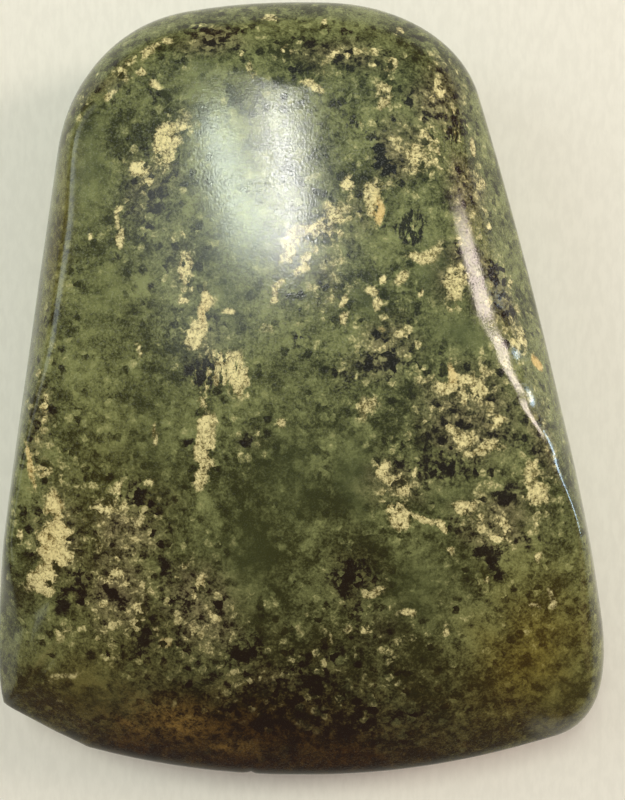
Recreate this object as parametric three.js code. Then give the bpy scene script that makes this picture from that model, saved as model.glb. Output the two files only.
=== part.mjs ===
// The head of a polished jade axe, lying on its back: one stone, ground and polished all over.
// It has a domed front and back, a wide curved cutting edge, a narrower rounded butt, and bevels ground
// along both sides. One corner of the cutting edge has been ground flat.
//
// Millimetres. +Z is up, +Y points to the butt, -Y to the cutting edge, and +X to the right seen from above.
// The origin is on the table, under the middle of the head's outline.

import * as THREE from "three";

// Overall sizes. The outline is the widest line round the head, and lies level above the table.
const length = 110; // butt to cutting edge
const frontCrown = 14; // outline to the top of the front
const backCrown = 12; // outline to the flat spot that the head lies on

// The outline is a four-cornered shape with arched ends, bowed sides and rounded corners. Its corners are
// given before they are rounded, and its two ends before they are arched.
const buttWidth = 51.8;
const buttOffset = -5.6; // middle of the butt, left of the middle line
const buttArch = 10.8; // rise of the butt's arch
const edgeWidth = 87.6;
const edgeOffset = -0.4;
const edgeArch = 8.3; // depth of the cutting edge's curve
const leftBow = 1.6;
const rightBow = 4.9;
const archSpan = 86; // width over which both ends are arched
const archOffset = -0.3;

// How far each rounding reaches from its corner, along the two lines that meet there.
const buttLeftRounding = { alongSide: 13.9, alongEnd: 16 };
const buttRightRounding = { alongEnd: 18.6, alongSide: 9 };
const edgeRightRounding = { alongSide: 16.7, alongEnd: 8.4 };
const edgeLeftRounding = { alongEnd: 4.4, alongSide: 23.4 };

// The flat ground on the left corner of the cutting edge. Bearings are in degrees, clockwise from the butt.
const flatBearing = 208;
const flatDepth = 1.9; // how much of the corner it takes off

// The two domes. Each falls away from its crown to the butt, the edge and the sides, to these shares of it.
const front = { crown: frontCrown, crownY: 6, atButt: 0.72, atEdge: 0.25, atSides: 0.8 };
const back = { crown: backCrown, crownY: -3, atButt: 0.7, atEdge: 0.28, atSides: 0.78 };
const flatSpotDepth = 0.3; // ground off the back's crown, so that the head lies still

// What is ground along the rim, from the outline up to the dome, at some places round it. Between them it
// changes evenly. at is 0 in the middle of the butt, 1 to 4 at the corners, clockwise, and 5 at the butt
// again; between those it goes by the bearing. wall is the height of the rounded wall, and round how far it
// leans in; slope is the bevel's rise for each millimetre inwards, and soft the size of the rounding where
// the bevel meets the dome.
const rim = [
  { at: 0, wall: 5, round: 1, slope: 0.85, soft: 5.5 },
  { at: 1, wall: 4.6, round: 0.9, slope: 0.9, soft: 4.5 },
  { at: 1.15, wall: 4, round: 0.7, slope: 1, soft: 3.4 },
  { at: 1.4, wall: 4, round: 0.7, slope: 1.06, soft: 4.4 },
  { at: 1.52, wall: 4.2, round: 0.8, slope: 1.3, soft: 5.5 },
  { at: 1.62, wall: 4.4, round: 0.9, slope: 1.6, soft: 6 },
  { at: 1.72, wall: 4.8, round: 0.8, slope: 2.2, soft: 6 },
  { at: 1.82, wall: 4.8, round: 0.8, slope: 2.6, soft: 3 },
  { at: 1.97, wall: 3, round: 0.8, slope: 1.6, soft: 3 },
  { at: 2.12, wall: 0.9, round: 0.3, slope: 0.66, soft: 2.2 },
  { at: 2.9, wall: 0.9, round: 0.3, slope: 0.66, soft: 2.2 },
  { at: 3.05, wall: 1.9, round: 0.45, slope: 0.95, soft: 2.2 },
  { at: 3.2, wall: 5, round: 0.9, slope: 2.6, soft: 2.6 },
  { at: 3.6, wall: 4.2, round: 0.8, slope: 1.85, soft: 3.4 },
  { at: 3.8, wall: 4, round: 0.8, slope: 1.95, soft: 4.2 },
  { at: 3.92, wall: 4.2, round: 0.8, slope: 2.25, soft: 4.2 },
  { at: 4.05, wall: 4.6, round: 0.9, slope: 1.4, soft: 5 },
];
const flatRim = { wall: 1.5, round: 0.12, slope: 0.66, soft: 1.4 }; // the same, on the ground flat
const flatBlend = 1.2; // the flat's rim holds fully where this much or more has been ground off

// Fineness of the faceted surface.
const stepsRound = 120;
const ringsPerFace = 15;
const ringCrowding = 1.8; // above 1, the rings lie closer together towards the rim

const halfLength = length / 2;
const buttY = halfLength - buttArch;
const edgeY = edgeArch - halfLength;
const corners = {
  buttLeft: new THREE.Vector2(buttOffset - buttWidth / 2, buttY),
  buttRight: new THREE.Vector2(buttOffset + buttWidth / 2, buttY),
  edgeRight: new THREE.Vector2(edgeOffset + edgeWidth / 2, edgeY),
  edgeLeft: new THREE.Vector2(edgeOffset - edgeWidth / 2, edgeY),
};

// The point at a distance from one corner, on the line to another.
function towards(from, to, distance) {
  return to.clone().sub(from).setLength(distance).add(from);
}

// The four-cornered shape with its rounded corners and straight lines, clockwise from the butt's left corner.
function roundedCorners() {
  const { buttLeft, buttRight, edgeRight, edgeLeft } = corners;
  const turns = [
    [edgeLeft, buttLeft, buttRight, buttLeftRounding.alongSide, buttLeftRounding.alongEnd],
    [buttLeft, buttRight, edgeRight, buttRightRounding.alongEnd, buttRightRounding.alongSide],
    [buttRight, edgeRight, edgeLeft, edgeRightRounding.alongSide, edgeRightRounding.alongEnd],
    [edgeRight, edgeLeft, buttLeft, edgeLeftRounding.alongEnd, edgeLeftRounding.alongSide],
  ];
  const shape = new THREE.Shape();
  turns.forEach(([before, corner, after, reachBefore, reachAfter], i) => {
    const start = towards(corner, before, reachBefore);
    const end = towards(corner, after, reachAfter);
    if (i === 0) shape.moveTo(start.x, start.y);
    else shape.lineTo(start.x, start.y);
    shape.quadraticCurveTo(corner.x, corner.y, end.x, end.y);
  });
  shape.closePath();
  return shape;
}

// Arches the ends and bows the sides, by most in the middle of each.
function archAndBow(point) {
  const across = 1 - ((point.x - archOffset) / (archSpan / 2)) ** 2;
  const along = 1 - (point.y / halfLength) ** 2;
  const arch = point.y > 0 ? buttArch * (point.y / buttY) : -edgeArch * (point.y / edgeY);
  const bow = point.x > 0 ? rightBow : -leftBow;
  return new THREE.Vector2(point.x + bow * along, point.y + arch * across);
}

// How much the ground flat takes off at each point of the outline.
function takenOff(points, outwards) {
  const reach = Math.max(...points.map((p) => p.dot(outwards))) - flatDepth;
  return points.map((p) => Math.max(p.dot(outwards) - reach, 0));
}

// The outline's points, clockwise seen from above, with the middle of their box on the origin, and how much
// has been ground off at each.
function outlinePoints() {
  const angle = THREE.MathUtils.degToRad(flatBearing);
  const outwards = new THREE.Vector2(Math.sin(angle), Math.cos(angle));
  const whole = roundedCorners().getSpacedPoints(stepsRound).slice(0, -1).map(archAndBow);
  const taken = takenOff(whole, outwards);
  const ground = whole.map((p, i) => p.clone().addScaledVector(outwards, -taken[i]));
  const middle = new THREE.Box2().setFromPoints(ground).getCenter(new THREE.Vector2());
  return { outline: ground.map((p) => p.sub(middle)), taken };
}

const { outline, taken } = outlinePoints();

// How far inside the outline a point lies.
function insetOf(point) {
  const nearest = new THREE.Vector3();
  const line = new THREE.Line3();
  let least = Infinity;
  outline.forEach((a, i) => {
    const b = outline[(i + 1) % outline.length];
    line.start.set(a.x, a.y, 0);
    line.end.set(b.x, b.y, 0);
    line.closestPointToPoint(new THREE.Vector3(point.x, point.y, 0), true, nearest);
    least = Math.min(least, Math.hypot(point.x - nearest.x, point.y - nearest.y));
  });
  return least;
}

// A point's bearing in degrees, clockwise from the butt.
function bearingOf(point) {
  return (THREE.MathUtils.radToDeg(Math.atan2(point.x, point.y)) + 360) % 360;
}

// A point's place round the rim, from 0 to 5, as the rim's list counts it.
const { buttRight, edgeRight, edgeLeft, buttLeft } = corners;
const placeBearings = [0, ...[buttRight, edgeRight, edgeLeft, buttLeft].map(bearingOf), 360];
function placeOf(point) {
  const bearing = bearingOf(point);
  const i = placeBearings.findIndex((b) => b > bearing) - 1;
  return i + THREE.MathUtils.inverseLerp(placeBearings[i], placeBearings[i + 1], bearing);
}

// Blends two rims' grindings.
function blendRims(from, to, share) {
  const blend = (key) => THREE.MathUtils.lerp(from[key], to[key], share);
  return { wall: blend("wall"), round: blend("round"), slope: blend("slope"), soft: blend("soft") };
}

// The rim's grinding at each point of the outline.
const rims = outline.map((point, i) => {
  const place = placeOf(point);
  const next = rim.findIndex((r) => r.at > place);
  const from = rim[(next < 0 ? rim.length : next) - 1];
  const to = next < 0 ? { ...rim[0], at: placeBearings.length - 1 } : rim[next];
  const side = blendRims(from, to, THREE.MathUtils.smoothstep(place, from.at, to.at));
  return blendRims(side, flatRim, THREE.MathUtils.smoothstep(taken[i], 0, flatBlend));
});

// A dome's height over the outline's plane: a parabola along the head times a parabola across it.
function domeHeight(dome, point) {
  const towardsButt = point.y > dome.crownY;
  const run = towardsButt ? halfLength - dome.crownY : halfLength + dome.crownY;
  const end = towardsButt ? dome.atButt : dome.atEdge;
  const along = 1 - (1 - end) * ((point.y - dome.crownY) / run) ** 2;
  const halfWidth = THREE.MathUtils.mapLinear(point.y, -halfLength, halfLength, edgeWidth / 2, buttWidth / 2);
  const across = 1 - (1 - dome.atSides) * (point.x / halfWidth) ** 2;
  return dome.crown * along * across;
}

// The smaller of two heights, with the corner between them rounded over a size.
function roundedMin(a, b, size) {
  const near = Math.max(size - Math.abs(a - b), 0) / size;
  return Math.min(a, b) - (near * near * size) / 4;
}

// The surface's height over or under the outline's plane at a point, inwards from one place on the rim.
function faceHeight(dome, point, { wall, round, slope, soft }) {
  const inset = insetOf(point);
  const bevel = slope * inset + wall * Math.sqrt(inset / (inset + round));
  return Math.max(roundedMin(bevel, domeHeight(dome, point), soft), 0);
}

// One closed surface: rings that shrink from the outline to the middle of each face.
function headGeometry() {
  const positions = outline.flatMap((p) => [p.x, p.y, backCrown]);
  const index = [];
  const groundBack = { ...back, crown: backCrown + flatSpotDepth };
  const faces = [
    {
      middle: new THREE.Vector2(0, front.crownY),
      up: true,
      heightAt: (p, r) => backCrown + faceHeight(front, p, r),
    },
    {
      middle: new THREE.Vector2(0, back.crownY),
      up: false,
      heightAt: (p, r) => Math.max(backCrown - faceHeight(groundBack, p, r), 0),
    },
  ];
  const triangle = (up, a, b, c) => index.push(...(up ? [a, b, c] : [a, c, b]));
  for (const { middle, up, heightAt } of faces) {
    let outer = 0;
    for (let ring = 1; ring < ringsPerFace; ring++) {
      const share = (ring / ringsPerFace) ** ringCrowding;
      const inner = positions.length / 3;
      outline.forEach((p, i) => {
        const q = p.clone().lerp(middle, share);
        positions.push(q.x, q.y, heightAt(q, rims[i]));
      });
      for (let i = 0; i < stepsRound; i++) {
        const j = (i + 1) % stepsRound;
        triangle(up, outer + i, inner + i, inner + j);
        triangle(up, outer + i, inner + j, outer + j);
      }
      outer = inner;
    }
    const tip = positions.length / 3;
    positions.push(middle.x, middle.y, heightAt(middle, rims[0]));
    for (let i = 0; i < stepsRound; i++) triangle(up, outer + i, tip, outer + ((i + 1) % stepsRound));
  }
  const geometry = new THREE.BufferGeometry();
  geometry.setAttribute("position", new THREE.Float32BufferAttribute(positions, 3));
  geometry.setIndex(index);
  geometry.computeVertexNormals();
  return geometry;
}

const jade = new THREE.MeshStandardMaterial({ color: 0x3f4a30, roughness: 0.3, metalness: 0 });
const head = new THREE.Mesh(headGeometry(), jade);
head.name = "axe_head";

const axe = new THREE.Group();
axe.add(head);
export default axe;
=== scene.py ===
# A hand-sized axe head of polished green jade, lying on pale paper and seen from straight above.

import math

import bpy
import numpy as np
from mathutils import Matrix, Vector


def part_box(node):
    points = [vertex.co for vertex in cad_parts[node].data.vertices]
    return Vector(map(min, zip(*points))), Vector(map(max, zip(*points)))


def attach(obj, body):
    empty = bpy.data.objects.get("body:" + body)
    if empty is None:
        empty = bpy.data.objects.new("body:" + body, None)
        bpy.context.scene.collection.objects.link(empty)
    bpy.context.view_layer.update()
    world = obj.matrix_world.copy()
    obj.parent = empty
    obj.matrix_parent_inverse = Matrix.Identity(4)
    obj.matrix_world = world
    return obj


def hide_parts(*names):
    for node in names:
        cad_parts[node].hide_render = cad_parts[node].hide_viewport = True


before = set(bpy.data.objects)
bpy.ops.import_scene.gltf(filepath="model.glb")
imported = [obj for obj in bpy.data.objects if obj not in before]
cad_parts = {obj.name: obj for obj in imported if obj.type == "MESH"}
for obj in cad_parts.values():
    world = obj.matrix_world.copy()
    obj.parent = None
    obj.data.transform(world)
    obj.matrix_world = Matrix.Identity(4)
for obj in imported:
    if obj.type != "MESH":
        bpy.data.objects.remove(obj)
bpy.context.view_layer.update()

# The view. The head lies with its butt at the top of the picture and fills nearly all of it. The camera looks
# straight down on it from about a head and a half away.
mm = 0.001  # in metres
picture_width = 625  # pixels
picture_height = 800
butt_row = 7  # the rows of pixels that the butt and the cutting edge reach
edge_row = 774
middle_column = 301  # of the head's middle line
rim_height = 12 * mm  # of the head's outline, over the paper
lens = 50  # and the film below it, in millimetres
film = 36

lowest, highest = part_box("axe_head")
pixel = (highest.y - lowest.y) / (edge_row - butt_row)  # its size on the level of the outline
camera_distance = picture_height * pixel * lens / film
camera_x = (picture_width / 2 - middle_column) * pixel
camera_y = ((butt_row + edge_row) / 2 - picture_height / 2) * pixel

camera = bpy.data.objects.new("camera", bpy.data.cameras.new("camera"))
camera.data.lens = lens
camera.data.sensor_width = film
camera.data.clip_start = 10 * mm
camera.location = (camera_x, camera_y, rim_height + camera_distance)
bpy.context.scene.collection.objects.link(camera)
bpy.context.scene.camera = camera
bpy.context.scene.view_settings.view_transform = "Standard"


# The axe head. It is one piece of nephrite, sawn and ground to a domed blade with bevelled sides and a rounded
# butt, then rubbed to a soft polish. One corner of the cutting edge is ground flat. Its sizes are in millimetres.
head_length = 110
half_length = head_length / 2
rim_level = rim_height / mm
butt_width = 51.8  # before its corners are rounded, as is the edge's
butt_offset = -5.6
butt_arch = 10.8
edge_width = 87.6
edge_offset = -0.4
edge_arch = 8.3
left_bow = 1.6
right_bow = 4.9
arch_span = 86
arch_offset = -0.3
flat_bearing = 208  # of the ground corner, in degrees clockwise from the butt
flat_depth = 1.9
nick_bearing = 187.5  # of a small chip in the cutting edge
nick_width = 0.5
nick_depth = 0.25

butt_y = half_length - butt_arch
edge_y = edge_arch - half_length
corners = np.array([
    (butt_offset - butt_width / 2, butt_y),
    (butt_offset + butt_width / 2, butt_y),
    (edge_offset + edge_width / 2, edge_y),
    (edge_offset - edge_width / 2, edge_y),
])
reach_before = np.array([13.9, 18.6, 16.7, 4.4])  # of each corner's rounding, along the line that comes to it
reach_after = np.array([16, 9, 8.4, 23.4])  # and along the line that leaves it


def bearing_of(points):
    """The bearing of points in degrees, clockwise from the butt."""
    return np.degrees(np.arctan2(points[..., 0], points[..., 1])) % 360


def head_outline(count):
    """The outline as (count, 2) points, clockwise from the butt's left corner, and what is ground off at each.

    Each corner is a quadratic curve, (1 - t)^2 start + 2 t (1 - t) corner + t^2 end, with straight lines between
    them, and the points lie evenly along it all. Then the ends are arched, y += arch (1 - (x / half span)^2), by
    more the nearer the end, and the sides are bowed, x += bow (1 - (y / half length)^2). What then passes the
    ground flat is moved back onto it."""
    before = np.roll(corners, 1, axis=0) - corners
    after = np.roll(corners, -1, axis=0) - corners
    start = corners + before * (reach_before / np.linalg.norm(before, axis=1))[:, None]
    end = corners + after * (reach_after / np.linalg.norm(after, axis=1))[:, None]
    t = np.linspace(0, 1, 60)[:, None]
    curves = (1 - t) ** 2 * start[:, None] + 2 * t * (1 - t) * corners[:, None] + t**2 * end[:, None]
    path = np.vstack([curves.reshape(-1, 2), curves[0, :1]])
    run = np.append(0, np.cumsum(np.linalg.norm(np.diff(path, axis=0), axis=1)))
    places = np.linspace(0, run[-1], count, endpoint=False)
    x = np.interp(places, run, path[:, 0])
    y = np.interp(places, run, path[:, 1])

    arch = np.where(y > 0, butt_arch * y / butt_y, -edge_arch * y / edge_y)
    bow = np.where(x > 0, right_bow, -left_bow)
    across = 1 - ((x - arch_offset) / (arch_span / 2)) ** 2
    along = 1 - (y / half_length) ** 2
    points = np.column_stack([x + bow * along, y + arch * across])

    angle = math.radians(flat_bearing)
    outwards = np.array([math.sin(angle), math.cos(angle)])
    beyond = points @ outwards
    ground_off = np.maximum(beyond - (beyond.max() - flat_depth), 0)
    points -= ground_off[:, None] * outwards

    turn = np.radians(bearing_of(points) - nick_bearing) * half_length
    points *= (1 - nick_depth / half_length * np.exp(-((turn / nick_width) ** 2)))[:, None]
    middle = (points.min(axis=0) + points.max(axis=0)) / 2
    return points - middle, ground_off


# How the rim is ground from the outline up to the dome. place is 0 in the middle of the butt, 1 to 4 at the
# corners, clockwise, and 5 at the butt again. wall is the height of the rounded wall and lean how far it leans
# in; slope is the bevel's rise for each millimetre inwards, and soft the rounding between bevel and dome.
rim_grinding = np.array([
    # place, wall, lean, slope, soft
    (0, 5, 1, 0.85, 5.5),
    (1, 4.6, 0.9, 0.9, 4.5),
    (1.15, 4, 0.7, 1, 3.4),
    (1.4, 4, 0.7, 1.06, 4.4),
    (1.52, 4.2, 0.8, 1.3, 5.5),
    (1.62, 4.4, 0.9, 1.6, 6),
    (1.72, 4.8, 0.8, 2.2, 6),
    (1.82, 4.8, 0.8, 2.6, 3),
    (1.97, 3, 0.8, 1.6, 3),
    (2.12, 0.9, 0.3, 0.66, 2.2),
    (2.9, 0.9, 0.3, 0.66, 2.2),
    (3.05, 1.9, 0.45, 0.95, 2.2),
    (3.2, 5, 0.9, 2.6, 2.6),
    (3.6, 4.2, 0.8, 1.85, 3.4),
    (3.8, 4, 0.8, 1.95, 4.2),
    (3.92, 4.2, 0.8, 2.25, 4.2),
    (4.05, 4.6, 0.9, 1.4, 5),
    (5, 5, 1, 0.85, 5.5),
])
flat_grinding = np.array([1.5, 0.12, 0.66, 1.4])  # wall, lean, slope and soft on the ground flat
flat_blend = 1.2  # the flat's own rim holds where it takes off this much or more


def smooth_step(value, low, high):
    """0 below low, 1 above high, and 3 t^2 - 2 t^3 between them."""
    t = np.clip((value - low) / (high - low), 0, 1)
    return t * t * (3 - 2 * t)


def rim_at(outline, ground_off):
    """Wall, lean, slope and soft at each point of the outline, blended smoothly between the listed places."""
    turns = np.array([0, *bearing_of(np.roll(corners, -1, axis=0)), 360])
    place = np.interp(bearing_of(outline), turns, np.arange(len(turns)))
    row = np.searchsorted(rim_grinding[:, 0], place, side="right") - 1
    here = rim_grinding[row]
    following = rim_grinding[row + 1]
    share = smooth_step(place, here[:, 0], following[:, 0])[:, None]
    side = here[:, 1:] + (following - here)[:, 1:] * share
    return side + (flat_grinding - side) * smooth_step(ground_off, 0, flat_blend)[:, None]


def inset_of(points, outline, reach=45):
    """How far inside the outline each point lies. points is (rings, count, 2), ring by ring from the outline.

    It is the least distance to the pieces of the outline within some steps of the point's own."""
    least = np.full(points.shape[:2], np.inf)
    for shift in range(-reach, reach + 1):
        a = np.roll(outline, shift, axis=0)
        piece = np.roll(outline, shift - 1, axis=0) - a
        t = np.clip(((points - a) * piece).sum(axis=2) / (piece**2).sum(axis=1), 0, 1)
        least = np.minimum(least, np.linalg.norm(points - a - t[..., None] * piece, axis=2))
    return least


def dome_height(points, crown, crown_y, at_butt, at_edge, at_sides):
    """A parabola along the head times a parabola across it, crown high in the middle.

    It falls to the shares at_butt, at_edge and at_sides of the crown at the butt, the edge and the sides."""
    x, y = points[..., 0], points[..., 1]
    run = np.where(y > crown_y, half_length - crown_y, half_length + crown_y)
    end = np.where(y > crown_y, at_butt, at_edge)
    half_width = (edge_width + (butt_width - edge_width) * (y + half_length) / head_length) / 2
    along = 1 - (1 - end) * ((y - crown_y) / run) ** 2
    across = 1 - (1 - at_sides) * (x / half_width) ** 2
    return crown * along * across


def face_height(points, inset, rim, dome):
    """The height of a face over the outline's level: the lower of bevel and dome, with the corner rounded.

    The bevel is slope times inset, plus wall times the root of inset / (inset + lean)."""
    wall, lean, slope, soft = rim.T
    bevel = slope * inset + wall * np.sqrt(inset / (inset + lean))
    top = dome_height(points, **dome)
    near = np.maximum(soft - np.abs(bevel - top), 0) / soft
    return np.maximum(np.minimum(bevel, top) - near**2 * soft / 4, 0)


def waves(points, lengths, seed, count=6):
    """A smooth random height from -1 to 1: the mean of sine waves of random direction and phase.

    Their wavelengths lie between the two given lengths."""
    rng = np.random.default_rng(seed)
    directions = rng.normal(size=(count, points.shape[-1]))
    directions /= np.linalg.norm(directions, axis=1)[:, None]
    directions *= 2 * math.pi / rng.uniform(*lengths, size=(count, 1))
    return np.sin(points @ directions.T + rng.uniform(0, 2 * math.pi, count)).mean(axis=-1) * 2


steps_round = 520
front_rings = 120
back_rings = 60
ring_crowding = 1.8  # above 1, the rings lie closer together towards the rim
front_dome = {"crown": 14, "crown_y": 6, "at_butt": 0.72, "at_edge": 0.25, "at_sides": 0.8}
back_dome = {"crown": 12.3, "crown_y": -3, "at_butt": 0.7, "at_edge": 0.28, "at_sides": 0.78}
hand_waviness = 0.015  # what grinding by hand leaves of the dome's evenness
wave_lengths = (9, 26)


def face_rings(outline, rim, rings, dome, seed):
    """One face as (rings + 1, count, 3) points, from the outline to the middle, with the height over the rim.

    A point lies a share of the way from the outline to the dome's middle, (ring / rings)^crowding."""
    share = (np.arange(rings + 1) / rings) ** ring_crowding
    middle = np.array([0, dome["crown_y"]])
    points = outline + (middle - outline) * share[:, None, None]
    inset = inset_of(points, outline)
    height = face_height(points, inset, rim, dome)
    height[0] = 0
    height += hand_waviness * waves(points, wave_lengths, seed) * smooth_step(inset, 1, 7)
    return np.concatenate([points, height[..., None]], axis=2)


def head_mesh():
    """The head's vertices, in millimetres, and its faces: two sets of rings that share the outline, and two fans."""
    outline, ground_off = head_outline(steps_round)
    rim = rim_at(outline, ground_off)
    front = face_rings(outline, rim, front_rings, front_dome, seed=4)
    back = face_rings(outline, rim, back_rings, back_dome, seed=5)
    front[..., 2] = rim_level + front[..., 2]
    back[..., 2] = np.maximum(rim_level - back[..., 2], 0)
    here = np.arange(steps_round)
    there = np.roll(here, -1)
    vertices = [front[0]]
    faces = []
    total = steps_round
    for face, rings, upward in ((front, front_rings, True), (back, back_rings, False)):
        starts = np.append(0, total + steps_round * np.arange(rings - 1))[:, None]
        outer, inner = starts[:-1], starts[1:]
        quads = np.stack([outer + here, inner + here, inner + there, outer + there], axis=2).reshape(-1, 4)
        tip = total + steps_round * (rings - 1)
        fan = np.column_stack([starts[-1] + here, np.full(steps_round, tip), starts[-1] + there])
        faces += [ring if upward else ring[::-1] for ring in quads.tolist() + fan.tolist()]
        vertices += [face[1:rings].reshape(-1, 3), face[rings, :1]]
        total = tip + 1
    return np.vstack([v.reshape(-1, 3) for v in vertices]), faces


head_points, head_faces = head_mesh()
head_shape = bpy.data.meshes.new("axe head")
head_shape.from_pydata((head_points * mm).tolist(), [], head_faces)
head_shape.shade_smooth()
head = bpy.data.objects.new("polished_head", head_shape)
bpy.context.scene.collection.objects.link(head)

# What lies in the stone, as its polished face shows it: patches of cream grains, knots of black ones, stained
# and clear places. Each row is the column and row of the picture where a patch's middle is seen, half its length
# and half its width in pixels, its lean in degrees clockwise from the butt, and a strength.
cream_patches = np.array([
    (168, 143, 26, 15, 25, 0.85),
    (143, 173, 10, 8, 40, 0.8),
    (146, 190, 8, 6, 30, 0.55),
    (119, 218, 12, 4, 3, 0.65),
    (122, 241, 11, 5, 0, 0.9),
    (166, 46, 7, 5, 90, 0.9),
    (150, 52, 6, 5, 0, 0.7),
    (122, 76, 8, 6, 20, 0.75),
    (143, 74, 5, 5, 0, 0.6),
    (154, 82, 6, 6, 0, 0.8),
    (110, 94, 9, 4, 55, 0.8),
    (130, 62, 6, 5, 40, 0.6),
    (249, 61, 8, 4, -10, 0.8),
    (255, 70, 5, 3, -20, 0.6),
    (271, 13, 12, 5, 80, 0.7),
    (283, 45, 5, 4, 0, 0.75),
    (291, 52, 4, 3, 0, 0.6),
    (237, 50, 4, 4, 0, 0.7),
    (92, 238, 5, 2, 0, 0.7),
    (186, 272, 20, 6, 4, 0.62),
    (204, 308, 22, 7, 5, 1.15),
    (194, 337, 12, 10, 40, 0.9),
    (184, 304, 4, 4, 0, 0.7),
    (226, 310, 6, 3, 60, 0.8),
    (230, 371, 21, 20, 0, 0.95),
    (136, 347, 6, 2, 10, 0.55),
    (296, 238, 27, 12, 42, 0.75),
    (275, 291, 13, 4, 35, 0.8),
    (304, 268, 12, 6, 40, 0.6),
    (263, 329, 7, 7, 0, 0.4),
    (317, 84, 8, 7, 0, 0.7),
    (335, 57, 6, 5, 0, 0.75),
    (327, 18, 5, 4, 0, 0.6),
    (401, 27, 8, 6, 0, 0.75),
    (388, 61, 6, 4, 0, 0.8),
    (437, 89, 10, 8, 40, 0.85),
    (388, 92, 14, 10, 30, 0.55),
    (386, 107, 6, 6, 0, 0.95),
    (475, 138, 8, 4, 8, 0.85),
    (425, 150, 24, 16, 20, 0.5),
    (351, 183, 12, 8, 60, 0.95),
    (375, 198, 18, 12, 40, 0.75),
    (381, 212, 9, 6, 30, 1.3),
    (420, 252, 20, 8, 100, 0.65),
    (328, 222, 22, 14, 20, 0.6),
    (455, 283, 24, 12, 0, 0.6),
    (386, 278, 5, 4, 0, 0.8),
    (401, 275, 6, 6, 0, 0.8),
    (373, 293, 8, 5, 100, 0.7),
    (345, 303, 8, 5, 40, 0.8),
    (344, 321, 7, 5, 0, 0.8),
    (380, 305, 6, 5, 0, 0.8),
    (424, 298, 4, 3, 0, 0.7),
    (447, 372, 8, 6, 0, 1),
    (462, 386, 26, 13, 95, 0.7),
    (496, 222, 5, 4, 0, 0.8),
    (513, 280, 6, 5, 0, 0.85),
    (523, 342, 16, 9, -14, 0.65),
    (544, 360, 12, 4, -14, 1.2),
    (484, 180, 8, 5, 0, 0.55),
    (368, 410, 16, 8, 60, 0.55),
    (498, 415, 9, 7, 0, 0.9),
    (463, 436, 15, 7, 100, 0.75),
    (490, 450, 20, 8, 90, 0.7),
    (532, 483, 20, 13, 0, 0.55),
    (400, 487, 16, 14, 0, 0.55),
    (401, 518, 11, 10, 0, 1),
    (442, 527, 8, 5, 110, 1),
    (425, 523, 10, 4, 100, 0.7),
    (466, 508, 8, 6, 0, 1),
    (478, 516, 5, 4, 0, 0.7),
    (452, 547, 5, 4, 0, 0.8),
    (502, 524, 12, 7, 0, 0.55),
    (502, 541, 8, 3, 100, 0.8),
    (417, 470, 9, 4, 15, 0.75),
    (383, 467, 10, 6, 30, 0.7),
    (547, 595, 8, 6, 0, 0.45),
    (536, 605, 3, 3, 0, 0.9),
    (488, 582, 5, 4, 45, 0.7),
    (541, 561, 6, 3, 20, 0.55),
    (375, 595, 8, 6, 60, 1),
    (364, 572, 4, 4, 0, 0.75),
    (409, 614, 6, 5, 45, 0.95),
    (364, 627, 9, 4, 60, 0.55),
    (350, 636, 6, 4, 60, 0.45),
    (446, 627, 10, 5, 45, 0.4),
    (332, 641, 8, 3, 20, 0.6),
    (205, 438, 42, 10, 2, 0.95),
    (203, 405, 10, 6, 10, 0.8),
    (203, 482, 14, 8, 5, 0.8),
    (43, 408, 11, 3, 5, 0.8),
    (31, 465, 30, 4, 3, 0.6),
    (47, 467, 12, 6, 0, 0.5),
    (51, 506, 14, 9, 10, 0.95),
    (56, 545, 26, 16, -5, 1.05),
    (42, 581, 20, 12, 60, 1.05),
    (43, 536, 6, 5, 0, 1.2),
    (19, 535, 9, 5, 0, 0.6),
    (156, 433, 14, 4, 5, 0.62),
    (276, 424, 6, 5, 20, 0.8),
    (105, 505, 15, 9, 80, 0.42),
    (119, 482, 6, 5, 0, 0.7),
    (148, 484, 8, 4, 60, 0.7),
    (135, 519, 10, 8, 40, 0.6),
    (116, 577, 9, 4, 90, 0.95),
    (97, 548, 10, 5, 0, 0.5),
    (118, 550, 7, 6, 0, 0.5),
    (137, 609, 11, 9, 20, 0.8),
    (135, 625, 8, 7, 0, 0.75),
    (154, 633, 5, 4, 0, 0.7),
    (161, 644, 7, 6, 0, 1),
    (205, 583, 8, 5, 20, 0.85),
    (197, 600, 5, 4, 0, 0.7),
    (209, 616, 8, 6, 0, 0.7),
    (186, 563, 5, 4, 0, 0.75),
    (306, 617, 6, 5, 10, 1.25),
    (296, 627, 6, 3, 90, 0.7),
    (249, 680, 4, 4, 0, 0.6),
    (62, 679, 25, 4, 82, 0.5),
    (57, 705, 10, 8, 140, 0.35),
    (64, 634, 10, 8, 0, 0.42),
])
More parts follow.
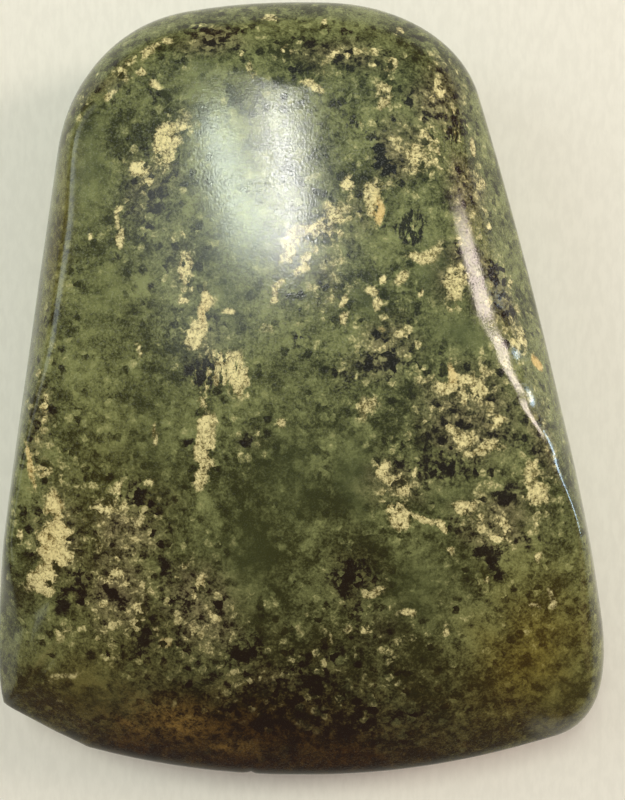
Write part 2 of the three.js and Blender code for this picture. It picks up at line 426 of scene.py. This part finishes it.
black_knots = np.array([
    (217, 38, 24, 11, 95, 0.75),
    (231, 32, 6, 5, 0, 1),
    (236, 47, 6, 4, 0, 0.9),
    (196, 30, 12, 7, 60, 0.55),
    (305, 41, 12, 8, 0, 0.7),
    (301, 72, 14, 8, 60, 0.65),
    (112, 98, 7, 5, 0, 0.95),
    (149, 93, 8, 6, 0, 0.8),
    (168, 146, 5, 4, 0, 1),
    (155, 205, 24, 13, 30, 0.75),
    (130, 212, 11, 4, 20, 0.9),
    (136, 180, 5, 4, 0, 0.9),
    (168, 178, 10, 7, 30, 0.65),
    (117, 260, 8, 4, 0, 0.55),
    (150, 293, 4, 4, 0, 0.7),
    (189, 304, 5, 4, 0, 0.8),
    (200, 371, 15, 9, 90, 0.9),
    (220, 325, 14, 10, 0, 0.5),
    (298, 339, 9, 7, 0, 0.7),
    (330, 28, 6, 5, 0, 0.95),
    (349, 31, 5, 4, 0, 0.95),
    (340, 61, 9, 7, 0, 1),
    (419, 33, 9, 3, 120, 0.9),
    (445, 68, 5, 4, 0, 0.9),
    (411, 102, 10, 7, 60, 0.95),
    (434, 112, 8, 5, 90, 0.8),
    (457, 125, 12, 9, 10, 0.85),
    (356, 124, 9, 8, 60, 0.7),
    (368, 138, 12, 8, 40, 0.85),
    (380, 155, 18, 9, -30, 0.85),
    (337, 107, 10, 10, 0, 0.6),
    (411, 228, 16, 11, 65, 0.9),
    (503, 272, 20, 9, -14, 0.75),
    (505, 300, 12, 7, 0, 0.55),
    (390, 360, 23, 16, 110, 0.8),
    (350, 383, 14, 10, 60, 0.6),
    (434, 465, 46, 12, 95, 0.72),
    (496, 438, 7, 6, 0, 1),
    (518, 445, 6, 5, 0, 0.8),
    (508, 493, 11, 8, 130, 0.95),
    (489, 551, 19, 9, 92, 1.05),
    (499, 568, 11, 7, 0, 1.05),
    (475, 548, 8, 6, 0, 0.9),
    (529, 541, 18, 7, 100, 0.8),
    (350, 575, 21, 12, 60, 0.9),
    (361, 608, 10, 8, 0, 0.6),
    (134, 498, 15, 11, 20, 0.95),
    (117, 493, 6, 5, 0, 0.8),
    (146, 516, 10, 7, 0, 0.9),
    (168, 567, 10, 7, 0, 0.95),
    (78, 574, 11, 8, 0, 0.85),
    (60, 603, 17, 9, 60, 0.85),
    (98, 596, 22, 12, 80, 0.55),
    (252, 445, 11, 7, 20, 0.9),
    (191, 438, 6, 5, 0, 0.95),
    (199, 463, 8, 4, 30, 0.9),
    (36, 545, 8, 5, 30, 0.9),
    (144, 644, 13, 9, 0, 0.8),
    (220, 606, 12, 8, 40, 0.6),
    (246, 648, 20, 18, 0, 0.75),
    (232, 706, 13, 10, 0, 1),
    (270, 724, 24, 13, 85, 0.9),
    (300, 690, 28, 24, 0, 0.65),
    (350, 720, 34, 18, 85, 0.8),
    (330, 655, 16, 12, 60, 0.5),
    (180, 600, 12, 14, 0, 0.5),
    (400, 720, 26, 12, 80, 0.5),
])
mixed_grains = np.array([
    (210, 40, 50, 20, 80, 0.6),
    (340, 55, 60, 22, 95, 0.6),
    (440, 95, 42, 34, 30, 0.75),
    (400, 150, 40, 36, 0, 0.7),
    (470, 190, 60, 22, -18, 0.75),
    (500, 290, 70, 18, -16, 0.75),
    (450, 270, 44, 24, 0, 0.6),
    (360, 210, 44, 30, 30, 0.5),
    (330, 280, 50, 26, 20, 0.45),
    (380, 350, 50, 36, 60, 0.6),
    (470, 420, 60, 60, 0, 0.8),
    (400, 480, 36, 50, 0, 0.6),
    (500, 520, 40, 50, 0, 0.75),
    (540, 430, 60, 16, -14, 0.7),
    (210, 350, 50, 30, 0, 0.45),
    (205, 440, 50, 14, 0, 0.4),
    (150, 180, 60, 34, 25, 0.5),
    (110, 80, 60, 16, 55, 0.5),
    (60, 540, 76, 40, 0, 0.55),
    (130, 530, 46, 44, 30, 0.8),
    (120, 600, 50, 70, 90, 0.75),
    (200, 620, 70, 60, 0, 0.8),
    (270, 690, 110, 50, 95, 0.8),
    (380, 640, 60, 60, 0, 0.5),
    (360, 585, 34, 30, 0, 0.7),
    (250, 440, 30, 26, 0, 0.35),
    (40, 430, 90, 16, 4, 0.5),
    (460, 610, 60, 70, 90, 0.3),
    (180, 270, 60, 24, 0, 0.35),
])
clear_places = np.array([
    (88, 165, 60, 16, 8, 0.8),
    (105, 290, 40, 22, 10, 0.4),
    (432, 268, 20, 14, 0, 0.85),
    (462, 334, 26, 15, 100, 0.95),
    (368, 305, 16, 14, 0, 0.6),
    (356, 480, 44, 20, -10, 0.9),
    (448, 500, 16, 26, 0, 0.5),
    (520, 515, 20, 14, 0, 0.6),
    (290, 480, 60, 40, 0, 0.5),
    (150, 440, 60, 30, 0, 0.4),
    (225, 300, 40, 14, 0, 0.4),
    (200, 80, 40, 20, 0, 0.5),
    (245, 560, 60, 40, 0, 0.6),
    (420, 590, 40, 40, 60, 0.6),
    (560, 690, 40, 40, 0, 0.5),
    (100, 700, 60, 30, 90, 0.5),
])
brown_places = np.array([
    (240, 790, 270, 130, 90, 1.3),
    (150, 640, 50, 36, 60, 0.5),
    (150, 510, 30, 20, 40, 0.5),
    (440, 462, 40, 10, 95, 0.35),
    (355, 580, 36, 26, 0, 0.6),
    (185, 722, 52, 24, 98, 0.3),
])
# The olive places are a painted glow: the yellowish olive that light coming through the thin corners and rims gives.
olive_glow_places = np.array([
    (530, 660, 90, 60, 20, 1),
    (560, 690, 60, 40, 20, 0.6),
    (55, 240, 90, 16, 8, 0.6),
    (75, 690, 70, 50, 60, 0.5),
    (100, 560, 160, 60, 0, 0.25),
    (520, 620, 90, 50, 0, 0.4),
])
amber_places = np.array([
    (177, 723, 38, 19, 108, 0.9),
    (136, 728, 25, 13, 100, 0.6),
    (231, 750, 26, 7, 95, 0.6),
])
yellow_places = np.array([
    (381, 212, 12, 9, 30, 1),
    (381, 330, 6, 5, 0, 1.5),
    (544, 360, 13, 6, -14, 1.3),
    (447, 372, 10, 8, 0, 0.5),
    (364, 572, 8, 6, 0, 1.2),
    (204, 310, 22, 8, 5, 0.35),
    (51, 530, 60, 18, 0, 0.2),
    (30, 450, 50, 10, 3, 0.5),
    (161, 644, 9, 8, 0, 0.4),
    (306, 617, 8, 7, 0, 0.3),
])
deep_places = np.array([
    (300, 520, 150, 130, 90, 0.8),
    (345, 60, 110, 40, 95, 0.5),
    (140, 600, 120, 80, 90, 0.6),
    (430, 560, 90, 80, 0, 0.6),
    (300, 720, 340, 110, 90, 1),
    (110, 200, 110, 50, 10, 0.35),
])
striped_places = np.array([
    (218, 372, 30, 22, 90, 1),
    (411, 228, 18, 13, 65, 0.9),
    (457, 125, 13, 10, 10, 0.9),
    (356, 124, 12, 10, 50, 0.8),
    (186, 272, 22, 8, 0, 0.6),
])


def on_the_head(seen, rounds=4):
    """Patches read off the picture, as rows in millimetres on the head.

    The dome is nearer the camera than the outline is, so a place on it is seen further out. Its share of the
    outline's scale is 1 - height / camera distance, and the height is the dome's at that place."""
    pixels = np.array([picture_width / 2, picture_height / 2])
    under_camera = np.array([camera_x, camera_y]) / mm
    from_middle = (seen[:, :2] - pixels) * (1, -1) * pixel / mm
    share = np.ones((len(seen), 1))
    for _ in range(rounds):
        places = under_camera + from_middle * share
        height = dome_height(places, **front_dome)
        share = 1 - height[:, None] * mm / camera_distance
    return np.hstack([places, seen[:, 2:4] * share * pixel / mm, seen[:, 4:]])


def lies_in(points, patches, sharpness=2):
    """How much points lie in patches, from 0 to about 1: the most that any patch gives.

    A patch gives its strength times exp(-r^(2 sharpness)), where r is 1 on the ellipse of its two half sizes."""
    most = np.zeros(len(points))
    for x, y, half_long, half_wide, lean, strength in patches:
        angle = math.radians(lean)
        dx, dy = points[:, 0] - x, points[:, 1] - y
        along = (dx * math.sin(angle) + dy * math.cos(angle)) / half_long
        across = (dx * math.cos(angle) - dy * math.sin(angle)) / half_wide
        most = np.maximum(most, strength * np.exp(-((along**2 + across**2) ** sharpness)))
    return most


def scattered(rng, count, sizes, strengths):
    """Random patches for the back, as rows in millimetres on the head."""
    return rng.uniform(
        (-36, -48, sizes[0], sizes[0] * 0.4, 0, strengths[0]),
        (34, 48, sizes[1], sizes[1] * 0.5, 180, strengths[1]),
        size=(count, 6),
    )


def stone_fields():
    """What each vertex of the head shows of the patches, by attribute name.

    The patches hold on the front and fade out round the sides, where random ones take over. Stains and deep
    places go right through, so those kinds have no random ones."""
    rng = np.random.default_rng(11)
    ripple = np.column_stack([waves(head_points, (3, 9), seed) for seed in (21, 22)])
    places = head_points[:, :2] + 0.7 * ripple
    front = smooth_step(head_points[:, 2], 5, 12)
    kinds = {
        "cream": (cream_patches, scattered(rng, 60, (0.8, 4.5), (0.5, 1)), 2),
        "black": (black_knots, scattered(rng, 50, (0.9, 3.6), (0.5, 1)), 1.4),
        "grains": (mixed_grains, scattered(rng, 12, (6, 14), (0.4, 0.7)), 1),
        "clear": (clear_places, scattered(rng, 10, (4, 9), (0.5, 0.9)), 1),
        "brown": (brown_places, None, 1),
        # the olive places are a painted glow of light through the thin corners and rims
        "olive": (olive_glow_places, None, 1),
        "amber": (amber_places, None, 1),
        "yellow": (yellow_places, scattered(rng, 5, (1, 3), (0.5, 1)), 1),
        "deep": (deep_places, None, 1),
        "striped": (striped_places, scattered(rng, 4, (2, 4), (0.5, 1)), 2),
    }
    fields = {}
    for name, (seen, hidden, sharpness) in kinds.items():
        in_front = lies_in(places, on_the_head(seen), sharpness)
        behind = in_front if hidden is None else lies_in(places, hidden, sharpness)
        fields[name] = front * in_front + (1 - front) * behind
    return fields


for name, values in stone_fields().items():
    head_shape.attributes.new(name, "FLOAT", "POINT").data.foreach_set("value", values)


class Signal:
    """One output of a node. Arithmetic on it adds Math nodes, so that a pattern reads as a formula."""

    def __init__(self, finish, socket):
        self.finish = finish
        self.socket = socket

    def math(self, operation, first, second):
        return self.finish.node("ShaderNodeMath", {"operation": operation}, {0: first, 1: second})

    def __add__(self, other):
        return self.math("ADD", self, other)

    __radd__ = __add__

    def __sub__(self, other):
        return self.math("SUBTRACT", self, other)

    def __rsub__(self, other):
        return self.math("SUBTRACT", other, self)

    def __mul__(self, other):
        return self.math("MULTIPLY", self, other)

    __rmul__ = __mul__

    def at_most(self, other):
        return self.math("MINIMUM", self, other)

    def at_least(self, other):
        return self.math("MAXIMUM", self, other)

    def step(self, low, high):
        """0 below low, 1 above high, and smooth between them."""
        sockets = {"Value": self, "From Min": low, "From Max": high}
        return self.finish.node("ShaderNodeMapRange", {"interpolation_type": "SMOOTHSTEP"}, sockets)


class Finish:
    """The nodes of a material, or of the world, while they are laid out."""

    def __init__(self, owner):
        owner.use_nodes = True
        self.tree = owner.node_tree

    def node(self, kind, settings, sockets, output=0):
        """Adds a node, sets its settings and then its sockets, to values or links, and returns one output."""
        made = self.tree.nodes.new(kind)
        for key, value in settings.items():
            setattr(made, key, value)
        self.fill(made, sockets)
        return Signal(self, made.outputs[output])

    def fill(self, made, sockets):
        """Sets a node's sockets to values, or links them."""
        for key, value in sockets.items():
            if isinstance(value, Signal):
                self.tree.links.new(value.socket, made.inputs[key])
            else:
                made.inputs[key].default_value = value

    def place(self):
        """Where a point of the piece lies, in millimetres."""
        metres = self.node("ShaderNodeTexCoord", {}, {}, "Object")
        return self.node("ShaderNodeVectorMath", {"operation": "SCALE"}, {0: metres, "Scale": 1 / mm})

    def attribute(self, name):
        return self.node("ShaderNodeAttribute", {"attribute_name": name}, {}, "Fac")

    def noise(self, place, size, detail, roughness, output):
        """Cloudy noise from 0 to 1, with lumps about size millimetres across. Output 1 is three such at once."""
        sockets = {"Vector": place, "Scale": 1 / size, "Detail": detail, "Roughness": roughness}
        return self.node("ShaderNodeTexNoise", {}, sockets, output)

    def lumps(self, place, size, detail=3, roughness=0.6):
        """Cloudy noise about 0, most of it between -1 and 1."""
        return 7 * (self.noise(place, size, detail, roughness, 0) - 0.5)

    def grains(self, place, size):
        """Rounded grains of a size: how far from a grain's middle a place is, and a number from 0 to 1 for each."""
        sockets = {"Vector": place, "Scale": 1 / size}
        distance = self.node("ShaderNodeTexVoronoi", {}, sockets, "Distance")
        draw = self.node("ShaderNodeTexVoronoi", {}, sockets, "Color")
        return distance, self.node("ShaderNodeSeparateColor", {}, {0: draw}, "Red")

    def moved(self, place, size, amount):
        """A place moved at random by up to an amount, by noise of a size."""
        shift = self.noise(place, size, 3, 0.55, 1)
        centred = self.node("ShaderNodeVectorMath", {"operation": "SUBTRACT"}, {0: shift, 1: (0.5, 0.5, 0.5)})
        scaled = self.node("ShaderNodeVectorMath", {"operation": "SCALE"}, {0: centred, "Scale": 2 * amount})
        return self.node("ShaderNodeVectorMath", {"operation": "ADD"}, {0: place, 1: scaled})

    def drawn_out(self, place, lean, stretch):
        """A place whose pattern is drawn out so many times along a line that leans, in degrees, from the butt."""
        sockets = {"Vector": place, "Rotation": (0, 0, -math.radians(lean)), "Scale": (1, stretch, 1)}
        return self.node("ShaderNodeMapping", {"vector_type": "TEXTURE"}, sockets)

    def mix(self, share, first, second):
        """The first colour where share is 0, and the second where it is 1."""
        sockets = {"Factor": share, 6: first, 7: second}
        return self.node("ShaderNodeMix", {"data_type": "RGBA"}, sockets, 2)


def colour(red, green, blue):
    """A colour given as it looks on a screen, from 0 to 255, as the linear one that a shader takes."""
    seen = np.array([red, green, blue]) / 255
    linear = np.where(seen <= 0.04045, seen / 12.92, ((seen + 0.055) / 1.055) ** 2.4)
    return (*linear.tolist(), 1)


# The polished stone. Olive green jade, cloudy like broth, crowded with cream, tan and black grains in the
# patches, brown with an amber stain towards the cutting edge, and a painted olive glow of light through thin corners
# and rims.
# Fine pits and duller specks from the grinding break up the gloss.
nephrite = bpy.data.materials.new("polished_nephrite")
stone = Finish(nephrite)
place = stone.place()
drifted = stone.moved(place, 3.2, 1.5)
crumbled = stone.moved(place, 0.9, 0.4)
cream_field = stone.attribute("cream")
black_field = stone.attribute("black")
grains_field = stone.attribute("grains")
clear_field = stone.attribute("clear")
brown_field = stone.attribute("brown")
# the olive attribute carries the painted glow of light through the thin corners and rims
olive_glow_field = stone.attribute("olive")
amber_field = stone.attribute("amber")
yellow_field = stone.attribute("yellow")
deep_field = stone.attribute("deep")
striped_field = stone.attribute("striped")

cloud = stone.lumps(drifted, 8, 2)
mottle = stone.lumps(drifted, 2.4, 3)
clumps = stone.lumps(crumbled, 1.1, 3)
grit = stone.lumps(crumbled, 0.36, 2)
bands = stone.lumps(stone.drawn_out(crumbled, 4, 3.4), 0.55, 2)
across = stone.lumps(crumbled, 0.9, 2, 0.5)
seams = 1 - across.at_least(0 - across).step(0.02, 0.24)
unclear = 1 - 0.85 * clear_field
distance, draw = stone.grains(crumbled, 1.1)
oddness = 2 * draw - 1
grain = (0.82 - distance).step(0, 0.4) * oddness
rare_grain = grain * oddness * oddness

green_tone = 0.45 + 0.22 * cloud + 0.22 * mottle - 0.32 * deep_field
green_tone = green_tone + unclear * (0.16 * clumps + 0.22 * grit + 0.5 * rare_grain)
green = stone.mix(green_tone.step(-0.15, 1.15), colour(40, 45, 15), colour(125, 132, 83))
green = stone.mix(clear_field * 0.4, green, colour(76, 88, 52))
# Painted glow: olive where light comes through the thin corners and rims.
olive = stone.mix(green_tone.step(-0.1, 0.9), colour(62, 48, 4), colour(122, 109, 38))
green = stone.mix(olive_glow_field.at_most(1) * 0.75, green, olive)
brown_tone = 0.42 + 0.3 * mottle + 0.2 * clumps + 0.25 * grit
brown = stone.mix(brown_tone.step(0, 1.2), colour(8, 5, 1), colour(58, 37, 4))
green = stone.mix(brown_field.at_most(1) * 0.92, green, brown)
amber = stone.mix(brown_tone.step(-0.2, 1), colour(44, 33, 8), colour(138, 112, 56))
green = stone.mix(amber_field * 0.85, green, amber)
tan_tone = 0.48 + 0.34 * clumps + 0.22 * grit + 0.4 * grain
tan = stone.mix(tan_tone.step(0, 1), colour(50, 45, 26), colour(138, 130, 94))
ground = stone.mix((1.3 * grains_field - 1.1 * brown_field).step(0.2, 1) * 0.65, green, tan)

rough = 0.28 * clumps + 0.17 * grit + 0.2 * mottle + 0.5 * grain + 0.3 * rare_grain
rough = rough + striped_field * (1.4 * bands - 0.3 * mottle)
crowd = (1.3 * grains_field + 0.3 * cream_field + 0.6 * black_field + 0.35).at_most(1.5) * unclear
tone = 1.45 * cream_field - 1.05 * black_field + crowd * rough - 0.25 * brown_field
dark = (0 - tone).step(0.1, 0.95)
pale = tone.step(0.16, 0.9) * (1 - brown_field).at_least(0.12)
pale_tone = 0.1 + 0.5 * cream_field + 0.24 * clumps + 0.26 * grit + 0.25 * grain - 0.5 * seams
cream = stone.mix(pale_tone.step(-0.3, 0.95), colour(92, 82, 40), colour(232, 222, 162))
cream = stone.mix(yellow_field.at_most(1) * 0.55, cream, colour(204, 160, 74))
shown = stone.mix(dark * 0.92, ground, colour(12, 9, 3))
shown = stone.mix(pale * 0.92, shown, cream)

pits = stone.lumps(place, 0.28, 2)
specks = stone.lumps(place, 0.22, 2)
relief = stone.node("ShaderNodeBump", {}, {"Distance": 0.0019 * mm, "Height": pits}, "Normal")
stone.fill(stone.tree.nodes["Principled BSDF"], {
    "Base Color": shown,
    "Roughness": 0.105 + 0.3 * specks.step(0.3, 0.9),
    "Normal": relief,
    "IOR": 1.5,
})
head_shape.materials.append(nephrite)

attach(head, "root")
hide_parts("axe_head")


# The paper. A large sheet of pale smooth paper that the head lies on.
paper_size = 6  # metres
pale_paper = bpy.data.materials.new("pale_paper")
paper = Finish(pale_paper)
fibres = paper.lumps(paper.drawn_out(paper.place(), 0, 3), 1.1, 3)
paper.fill(paper.tree.nodes["Principled BSDF"], {
    "Base Color": paper.mix(fibres.step(-1, 1), colour(225, 224, 213), colour(230, 229, 218)),
    "Roughness": 0.85,
    "Specular IOR Level": 0.2,
})
half_paper = paper_size / 2
paper_shape = bpy.data.meshes.new("paper")
paper_corners = [(x * half_paper, y * half_paper, 0) for x, y in ((-1, -1), (1, -1), (1, 1), (-1, 1))]
paper_shape.from_pydata(paper_corners, [], [(0, 1, 2, 3)])
paper_shape.materials.append(pale_paper)
sheet = bpy.data.objects.new("paper_sheet", paper_shape)
bpy.context.scene.collection.objects.link(sheet)


# The light. Two bright panes and the dim frame round them high beyond the butt, a warm window, a low blue one
# and a rosy wall on the right, and a dim bluish window and wall on the left. The room is dim and dusky pink,
# and pale bluish high up towards the butt.
light_distance = 0.8  # metres


def soft_light(name, bearing, climb, wide, high, brightness, tint):
    """A flat light panel that faces the head's middle, so many degrees clockwise from the butt and up from level.

    It is so many degrees wide and high as the head sees it. brightness is how bright the panel looks, where
    white paper in full light is 1."""
    panel = bpy.data.lights.new(name, "AREA")
    panel.shape = "RECTANGLE"
    panel.size = 2 * light_distance * math.tan(math.radians(wide / 2))
    panel.size_y = 2 * light_distance * math.tan(math.radians(high / 2))
    panel.energy = brightness * math.pi * panel.size * panel.size_y
    panel.color = tint
    lamp = bpy.data.objects.new(name, panel)
    turn, up = math.radians(bearing), math.radians(climb)
    flat = light_distance * math.cos(up)
    lamp.location = (flat * math.sin(turn), flat * math.cos(turn), light_distance * math.sin(up))
    lamp.rotation_euler = (math.pi / 2 - up, 0, math.pi - turn)
    bpy.context.scene.collection.objects.link(lamp)


soft_light("window_right_pane", -7.6, 69.2, 2.8, 18, 41, (1, 1, 0.96))
soft_light("window_left_pane", -25.8, 67.2, 3.6, 16, 30, (0.9, 1, 0.8))
soft_light("window_frame", -29.6, 71.4, 25.8, 23.9, 1.5, (0.9, 1, 0.97))
soft_light("right_window", 72, 30, 12, 20, 18, (1, 0.85, 0.74))
soft_light("rosy_wall", 90, 33, 60, 34, 0.25, (1, 0.4, 0.36))
soft_light("low_blue_window", 85, 8, 20, 8, 18, (0.62, 0.82, 1))
soft_light("left_window", -68, 36, 20, 30, 2.1, (0.8, 0.95, 1))
soft_light("left_wall", -80, 34, 60, 24, 1, (0.92, 1, 0.99))

world = bpy.data.worlds.new("room")
room = Finish(world)
heading = room.node("ShaderNodeTexCoord", {}, {}, "Generated")
brighter_side = (0.2, 0.48, 0.85)  # high up, towards the butt
sockets = {0: heading, 1: brighter_side}
towards_it = room.node("ShaderNodeVectorMath", {"operation": "DOT_PRODUCT"}, sockets, "Value")
room.fill(room.tree.nodes["Background"], {
    "Color": room.mix(towards_it.step(0.55, 1.05), (0.29, 0.17, 0.14, 1), (0.38, 0.48, 0.47, 1)),
})
bpy.context.scene.world = world
